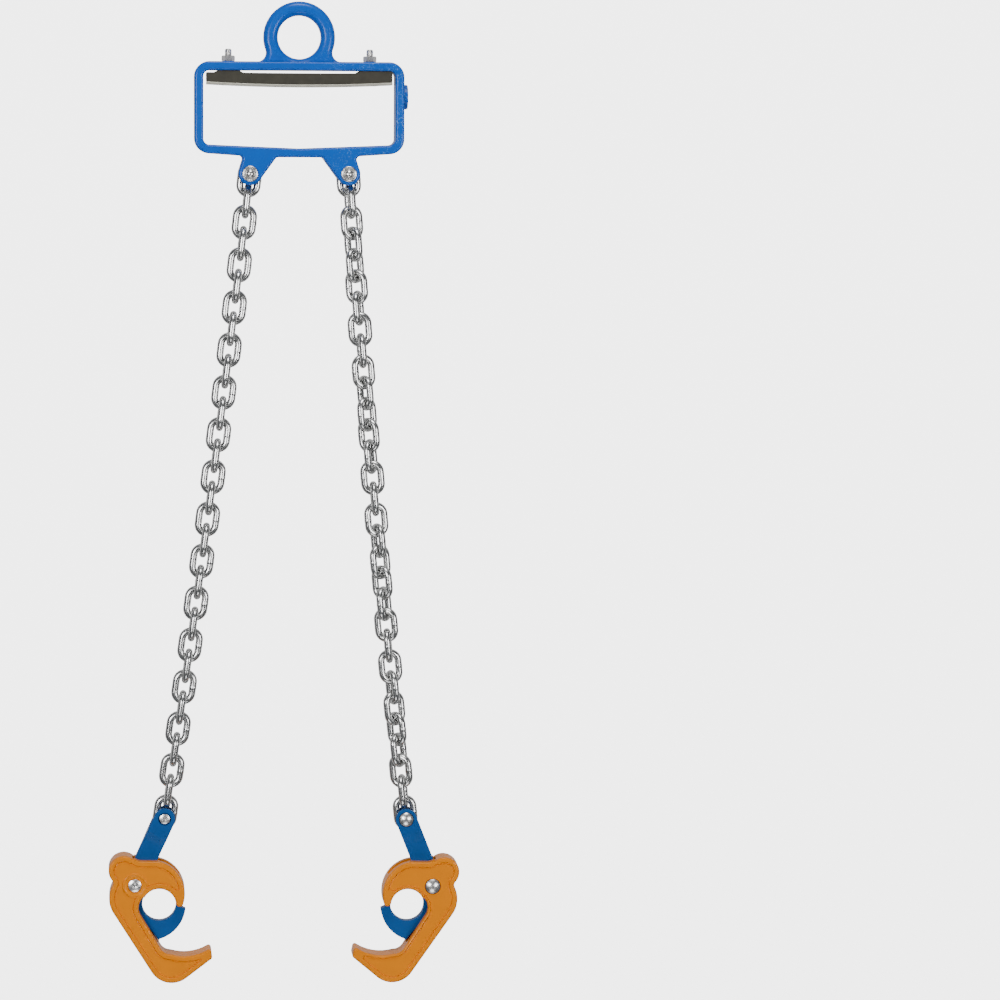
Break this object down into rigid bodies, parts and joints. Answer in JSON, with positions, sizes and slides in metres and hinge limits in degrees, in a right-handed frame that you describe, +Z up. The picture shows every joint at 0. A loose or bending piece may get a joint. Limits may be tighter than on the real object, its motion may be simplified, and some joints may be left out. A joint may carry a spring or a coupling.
{
  "type": "drum lifter",
  "caption": "Fork frame with a lifting eye and a padded window, and two short-link chains whose cam clamps close round a drum's rim, laid flat.",
  "frame": {"origin": "centre of the lifting eye's hole", "axes": "laid on its back: +Z up out of the front face, +Y from the clamps towards the eye, +X along the frame towards its right bar"},
  "size_m": [0.3973, 1.1086, 0.047],
  "materials": {
    "frame_paint": "gloss hammertone",
    "lever_paint": "semi-gloss",
    "clamp_paint": "gloss",
    "chain_steel": "bright zinc",
    "pin_steel": "bright",
    "strip_steel": "dull",
    "pad_rubber": "matt"
  },
  "bodies": {
    "frame": {"lifting_frame": "frame_paint", "lifting_eye": "frame_paint", "fork_pad": "pad_rubber", "pad_strip": "strip_steel", "pad_bolts": "pin_steel", "pad_nuts": "pin_steel", "chain_pins": "pin_steel", "pin_washers": "pin_steel"},
    "left_link_01": {"left_link_01": "chain_steel"},
    "left_links_02_03": {"left_links_02_03": "chain_steel"},
    "left_links_04_05": {"left_links_04_05": "chain_steel"},
    "left_links_06_07": {"left_links_06_07": "chain_steel"},
    "left_links_08_09": {"left_links_08_09": "chain_steel"},
    "left_links_10_11": {"left_links_10_11": "chain_steel"},
    "left_links_12_13": {"left_links_12_13": "chain_steel"},
    "left_links_14_15": {"left_links_14_15": "chain_steel"},
    "left_links_16_17": {"left_links_16_17": "chain_steel"},
    "left_links_18_19": {"left_links_18_19": "chain_steel"},
    "left_links_20_21": {"left_links_20_21": "chain_steel"},
    "left_links_22_23": {"left_links_22_23": "chain_steel"},
    "left_links_24_25": {"left_links_24_25": "chain_steel"},
    "left_links_26_27": {"left_links_26_27": "chain_steel"},
    "left_links_28_29": {"left_links_28_29": "chain_steel"},
    "left_links_30_31": {"left_links_30_31": "chain_steel"},
    "left_lever": {"left_cam_lever": "lever_paint", "left_chain_rivet": "pin_steel"},
    "left_clamp": {"left_clamp_body": "clamp_paint", "left_jaw_rivet": "pin_steel"},
    "right_link_01": {"right_link_01": "chain_steel"},
    "right_links_02_03": {"right_links_02_03": "chain_steel"},
    "right_links_04_05": {"right_links_04_05": "chain_steel"},
    "right_links_06_07": {"right_links_06_07": "chain_steel"},
    "right_links_08_09": {"right_links_08_09": "chain_steel"},
    "right_links_10_11": {"right_links_10_11": "chain_steel"},
    "right_links_12_13": {"right_links_12_13": "chain_steel"},
    "right_links_14_15": {"right_links_14_15": "chain_steel"},
    "right_links_16_17": {"right_links_16_17": "chain_steel"},
    "right_links_18_19": {"right_links_18_19": "chain_steel"},
    "right_links_20_21": {"right_links_20_21": "chain_steel"},
    "right_links_22_23": {"right_links_22_23": "chain_steel"},
    "right_links_24_25": {"right_links_24_25": "chain_steel"},
    "right_links_26_27": {"right_links_26_27": "chain_steel"},
    "right_links_28_29": {"right_links_28_29": "chain_steel"},
    "right_links_30_31": {"right_links_30_31": "chain_steel"},
    "right_lever": {"right_cam_lever": "lever_paint", "right_chain_rivet": "pin_steel"},
    "right_clamp": {"right_clamp_body": "clamp_paint", "right_jaw_rivet": "pin_steel"}
  },
  "joints": [
    {"name": "left_chain_swing", "type": "hinge", "parent": "frame", "child": "left_link_01", "pos_m": [-0.055, -0.1515, 0], "axis": [0, 0, -1], "range_deg": [-9, 60]},
    {"name": "left_links_02_03_swing", "type": "hinge", "parent": "left_link_01", "child": "left_links_02_03", "pos_m": [-0.05648, -0.16472, 0], "axis": [0, 0, -1], "range_deg": [-8, 8]},
    {"name": "left_links_04_05_swing", "type": "hinge", "parent": "left_links_02_03", "child": "left_links_04_05", "pos_m": [-0.06319, -0.22343, 0], "axis": [0.9933, -0.1155, 0], "range_deg": [-30, 30]},
    {"name": "left_links_06_07_swing", "type": "hinge", "parent": "left_links_04_05", "child": "left_links_06_07", "pos_m": [-0.06747, -0.26009, 0], "axis": [0, 0, 1], "range_deg": [-9, 9]},
    {"name": "left_links_08_09_swing", "type": "hinge", "parent": "left_links_06_07", "child": "left_links_08_09", "pos_m": [-0.07449, -0.31877, 0], "axis": [-0.9927, 0.1208, 0], "range_deg": [-30, 30]},
    {"name": "left_links_10_11_swing", "type": "hinge", "parent": "left_links_08_09", "child": "left_links_10_11", "pos_m": [-0.07897, -0.35539, 0], "axis": [0, 0, -1], "range_deg": [-10, 10]},
    {"name": "left_links_12_13_swing", "type": "hinge", "parent": "left_links_10_11", "child": "left_links_12_13", "pos_m": [-0.08631, -0.41404, 0], "axis": [0.992, -0.1261, 0], "range_deg": [-30, 30]},
    {"name": "left_links_14_15_swing", "type": "hinge", "parent": "left_links_12_13", "child": "left_links_14_15", "pos_m": [-0.09098, -0.45064, 0], "axis": [0, 0, 1], "range_deg": [-12, 12]},
    {"name": "left_links_16_17_swing", "type": "hinge", "parent": "left_links_14_15", "child": "left_links_16_17", "pos_m": [-0.09863, -0.50924, 0], "axis": [-0.9913, 0.1314, 0], "range_deg": [-30, 30]},
    {"name": "left_links_18_19_swing", "type": "hinge", "parent": "left_links_16_17", "child": "left_links_18_19", "pos_m": [-0.1035, -0.54582, 0], "axis": [0, 0, -1], "range_deg": [-15, 15]},
    {"name": "left_links_20_21_swing", "type": "hinge", "parent": "left_links_18_19", "child": "left_links_20_21", "pos_m": [-0.11147, -0.60438, 0], "axis": [0.9906, -0.1367, 0], "range_deg": [-30, 30]},
    {"name": "left_links_22_23_swing", "type": "hinge", "parent": "left_links_20_21", "child": "left_links_22_23", "pos_m": [-0.11653, -0.64093, 0], "axis": [0, 0, 1], "range_deg": [-19, 19]},
    {"name": "left_links_24_25_swing", "type": "hinge", "parent": "left_links_22_23", "child": "left_links_24_25", "pos_m": [-0.12481, -0.69945, 0], "axis": [-0.9899, 0.142, 0], "range_deg": [-30, 30]},
    {"name": "left_links_26_27_swing", "type": "hinge", "parent": "left_links_24_25", "child": "left_links_26_27", "pos_m": [-0.13007, -0.73597, 0], "axis": [0, 0, -1], "range_deg": [-25, 25]},
    {"name": "left_links_28_29_swing", "type": "hinge", "parent": "left_links_26_27", "child": "left_links_28_29", "pos_m": [-0.13866, -0.79444, 0], "axis": [0.9891, -0.1473, 0], "range_deg": [-30, 30]},
    {"name": "left_links_30_31_swing", "type": "hinge", "parent": "left_links_28_29", "child": "left_links_30_31", "pos_m": [-0.14412, -0.83094, 0], "axis": [0, 0, 1], "range_deg": [-30, 30]},
    {"name": "left_lever_swing", "type": "hinge", "parent": "left_links_30_31", "child": "left_lever", "pos_m": [-0.1514, -0.87879, 0], "axis": [0, 0, -1], "range_deg": [-45, 45]},
    {"name": "left_jaw_open", "type": "hinge", "parent": "left_lever", "child": "left_clamp", "pos_m": [-0.18527, -0.95347, 0], "axis": [0, 0, 1], "range_deg": [0, 16]},
    {"name": "right_chain_swing", "type": "hinge", "parent": "frame", "child": "right_link_01", "pos_m": [0.055, -0.1515, 0], "axis": [0, 0, 1], "range_deg": [-9, 60]},
    {"name": "right_links_02_03_swing", "type": "hinge", "parent": "right_link_01", "child": "right_links_02_03", "pos_m": [0.056, -0.16476, 0], "axis": [0, 0, 1], "range_deg": [-8, 8]},
    {"name": "right_links_04_05_swing", "type": "hinge", "parent": "right_links_02_03", "child": "right_links_04_05", "pos_m": [0.06053, -0.22369, 0], "axis": [-0.8065, -0.0633, 0.5878], "range_deg": [-15, 15]},
    {"name": "right_links_06_07_swing", "type": "hinge", "parent": "right_links_04_05", "child": "right_links_06_07", "pos_m": [0.06344, -0.26047, 0], "axis": [0.7408, 0.059, 0.6691], "range_deg": [-14, 14]},
    {"name": "right_links_08_09_swing", "type": "hinge", "parent": "right_links_06_07", "child": "right_links_08_09", "pos_m": [0.06822, -0.31938, 0], "axis": [0.1042, 0.0086, -0.9945], "range_deg": [-10, 10]},
    {"name": "right_links_10_11_swing", "type": "hinge", "parent": "right_links_08_09", "child": "right_links_10_11", "pos_m": [0.0713, -0.35615, 0], "axis": [-0.991, -0.0833, 0.1045], "range_deg": [-30, 30]},
    {"name": "right_links_12_13_swing", "type": "hinge", "parent": "right_links_10_11", "child": "right_links_12_13", "pos_m": [0.07635, -0.41503, 0], "axis": [0.6666, 0.0583, 0.7431], "range_deg": [-16, 16]},
    {"name": "right_links_14_15_swing", "type": "hinge", "parent": "right_links_12_13", "child": "right_links_14_15", "pos_m": [0.07958, -0.45179, 0], "axis": [0.5855, 0.0518, -0.809], "range_deg": [-15, 15]},
    {"name": "right_links_16_17_swing", "type": "hinge", "parent": "right_links_14_15", "child": "right_links_16_17", "pos_m": [0.08489, -0.51065, 0], "axis": [0.9958, 0.0915, 0], "range_deg": [-30, 30]},
    {"name": "right_links_18_19_swing", "type": "hinge", "parent": "right_links_16_17", "child": "right_links_18_19", "pos_m": [0.08829, -0.5474, 0], "axis": [0.207, 0.0193, 0.9781], "range_deg": [-15, 15]},
    {"name": "right_links_20_21_swing", "type": "hinge", "parent": "right_links_18_19", "child": "right_links_20_21", "pos_m": [0.09386, -0.60623, 0], "axis": [-0.666, -0.0642, 0.7431], "range_deg": [-23, 23]},
    {"name": "right_links_22_23_swing", "type": "hinge", "parent": "right_links_20_21", "child": "right_links_22_23", "pos_m": [0.09742, -0.64296, 0], "axis": [0.8619, 0.084, 0.5], "range_deg": [-30, 30]},
    {"name": "right_links_24_25_swing", "type": "hinge", "parent": "right_links_22_23", "child": "right_links_24_25", "pos_m": [0.10325, -0.70177, 0], "axis": [-0.104, -0.0105, -0.9945], "range_deg": [-22, 22]},
    {"name": "right_links_26_27_swing", "type": "hinge", "parent": "right_links_24_25", "child": "right_links_26_27", "pos_m": [0.10697, -0.73849, 0], "axis": [-0.9462, -0.0964, 0.309], "range_deg": [-30, 30]},
    {"name": "right_links_28_29_swing", "type": "hinge", "parent": "right_links_26_27", "child": "right_links_28_29", "pos_m": [0.11306, -0.79727, 0], "axis": [-0.8046, -0.0847, -0.5878], "range_deg": [-30, 30]},
    {"name": "right_links_30_31_swing", "type": "hinge", "parent": "right_links_28_29", "child": "right_links_30_31", "pos_m": [0.11694, -0.83397, 0], "axis": [0.4045, 0.043, -0.9135], "range_deg": [-30, 30]},
    {"name": "right_lever_swing", "type": "hinge", "parent": "right_links_30_31", "child": "right_lever", "pos_m": [0.12213, -0.88209, 0], "axis": [0, 0, 1], "range_deg": [-45, 45]},
    {"name": "right_jaw_open", "type": "hinge", "parent": "right_lever", "child": "right_clamp", "pos_m": [0.15218, -0.95838, 0], "axis": [0, 0, -1], "range_deg": [0, 16]}
  ]
}
